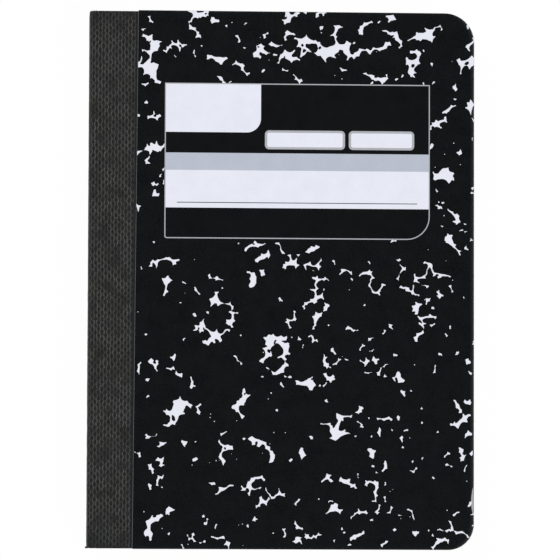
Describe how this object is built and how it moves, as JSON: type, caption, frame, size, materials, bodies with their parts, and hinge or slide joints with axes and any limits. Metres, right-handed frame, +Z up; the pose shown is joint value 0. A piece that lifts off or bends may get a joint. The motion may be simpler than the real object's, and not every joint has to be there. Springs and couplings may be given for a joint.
{
  "type": "memo book",
  "caption": "Pocket memo book: sewn leaves between stiff marbled black and white card covers with a cloth tape spine, rounded fore edge corners and a blank name label.",
  "frame": {"origin": "on the surface that the book lies on, under the middle of the book", "axes": "+X from the spine to the fore edge, +Y from the tail to the head of the front cover, +Z up, out of the front cover"},
  "size_m": [0.082, 0.1142, 0.0081],
  "materials": {
    "leaf_paper": "uncoated white writing paper, matt",
    "thread_cotton": "undyed twisted cotton thread",
    "tape_cloth": "black embossed cloth binding tape, low sheen",
    "cover_board": "pressed board printed black, satin varnish",
    "bare_card": "bare white card between the drops of ink, satin varnish",
    "print_line_grey": "printed light grey line, satin",
    "print_black": "printed black field, satin",
    "print_white": "unprinted white field, satin",
    "print_grey": "printed grey field, satin",
    "print_rule": "printed dark grey writing line, satin"
  },
  "bodies": {
    "leaves": {"page_block": "leaf_paper", "sewing_thread": "thread_cotton", "spine_tape": "tape_cloth"},
    "front_board": {"front_cover": "cover_board", "front_lining": "leaf_paper", "front_tape_flange": "tape_cloth", "front_marbling": "bare_card", "label_border": "print_line_grey", "label_panel": "print_black", "label_tab": "print_white", "label_grey_band": "print_grey", "label_white_band": "print_white", "label_rule_line": "print_rule", "label_title_bars": "print_white", "label_title_outlines": "print_line_grey"},
    "back_board": {"back_cover": "cover_board", "back_lining": "leaf_paper", "back_tape_flange": "tape_cloth", "back_marbling": "bare_card"}
  },
  "joints": [
    {"name": "front_cover_hinge", "type": "hinge", "parent": "leaves", "child": "front_board", "pos_m": [-0.0392, 0, 0.00812], "axis": [0, -1, 0], "range_deg": [0, 180]},
    {"name": "back_cover_hinge", "type": "hinge", "parent": "leaves", "child": "back_board", "pos_m": [-0.0392, 0, 0], "axis": [0, 1, 0], "range_deg": [0, 180]}
  ]
}
